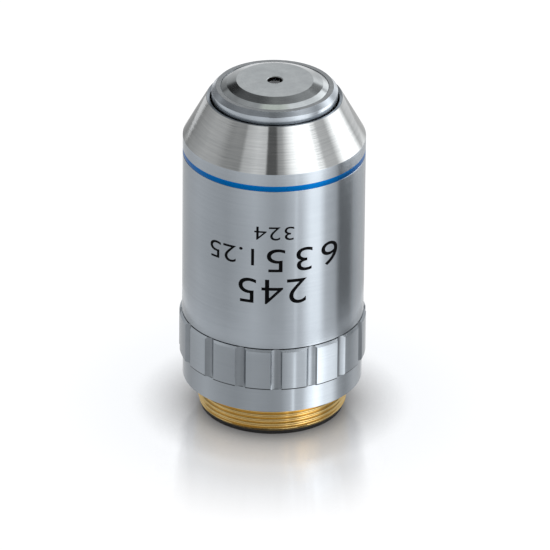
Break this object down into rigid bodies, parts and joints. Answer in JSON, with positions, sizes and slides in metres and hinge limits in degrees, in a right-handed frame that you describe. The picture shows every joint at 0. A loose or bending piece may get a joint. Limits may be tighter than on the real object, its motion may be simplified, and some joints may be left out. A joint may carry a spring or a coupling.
{
  "type": "microscope objective",
  "caption": "Spring-front microscope objective: plated turned barrel with blue ring, coned sleeve, retracting nose with pinhole, fluted grip ring and brass screw mount.",
  "frame": {"origin": "centre of the rear end face, on the optical axis", "axes": "+Z along the optical axis towards the specimen, -Y the side that faces the viewer in the picture, +X to that viewer's right"},
  "size_m": [0.0254, 0.0254, 0.049],
  "materials": {
    "satin_plate": "satin chrome plate on turned brass",
    "turned_brass": "bare turned brass",
    "blackened_brass": "chemically blackened brass",
    "black_anodised": "black anodised",
    "steel": "bright drawn steel",
    "blue_enamel": "blue enamel fill in a turned groove",
    "optical_glass": "polished and coated"
  },
  "bodies": {
    "housing": {"rear_ring": "black_anodised", "mount_tube": "turned_brass", "base_ring": "satin_plate", "grip_ring": "satin_plate", "outer_sleeve": "satin_plate", "colour_ring": "blue_enamel", "stop_ring": "turned_brass", "guide_screw": "steel", "retraction_spring": "steel"},
    "nose_unit": {"lens_barrel": "blackened_brass", "nose_ring": "satin_plate", "front_cell": "satin_plate", "front_lens": "optical_glass", "second_lens": "optical_glass", "second_cell": "blackened_brass", "doublet_1_crown": "optical_glass", "doublet_1_flint": "optical_glass", "doublet_1_cell": "blackened_brass", "doublet_2_flint": "optical_glass", "doublet_2_crown": "optical_glass", "doublet_2_cell": "blackened_brass", "spacer_tube": "black_anodised", "aperture_stop": "black_anodised", "rear_flint": "optical_glass", "rear_crown": "optical_glass", "rear_cell": "blackened_brass", "lock_ring": "blackened_brass"}
  },
  "joints": [
    {"name": "front_retract", "type": "slide", "parent": "housing", "child": "nose_unit", "axis": [0, 0, -1], "range_m": [0, 0.002], "stiffness_N_per_m": 500, "springref_m": -0.006, "deforming": ["retraction_spring"]}
  ]
}
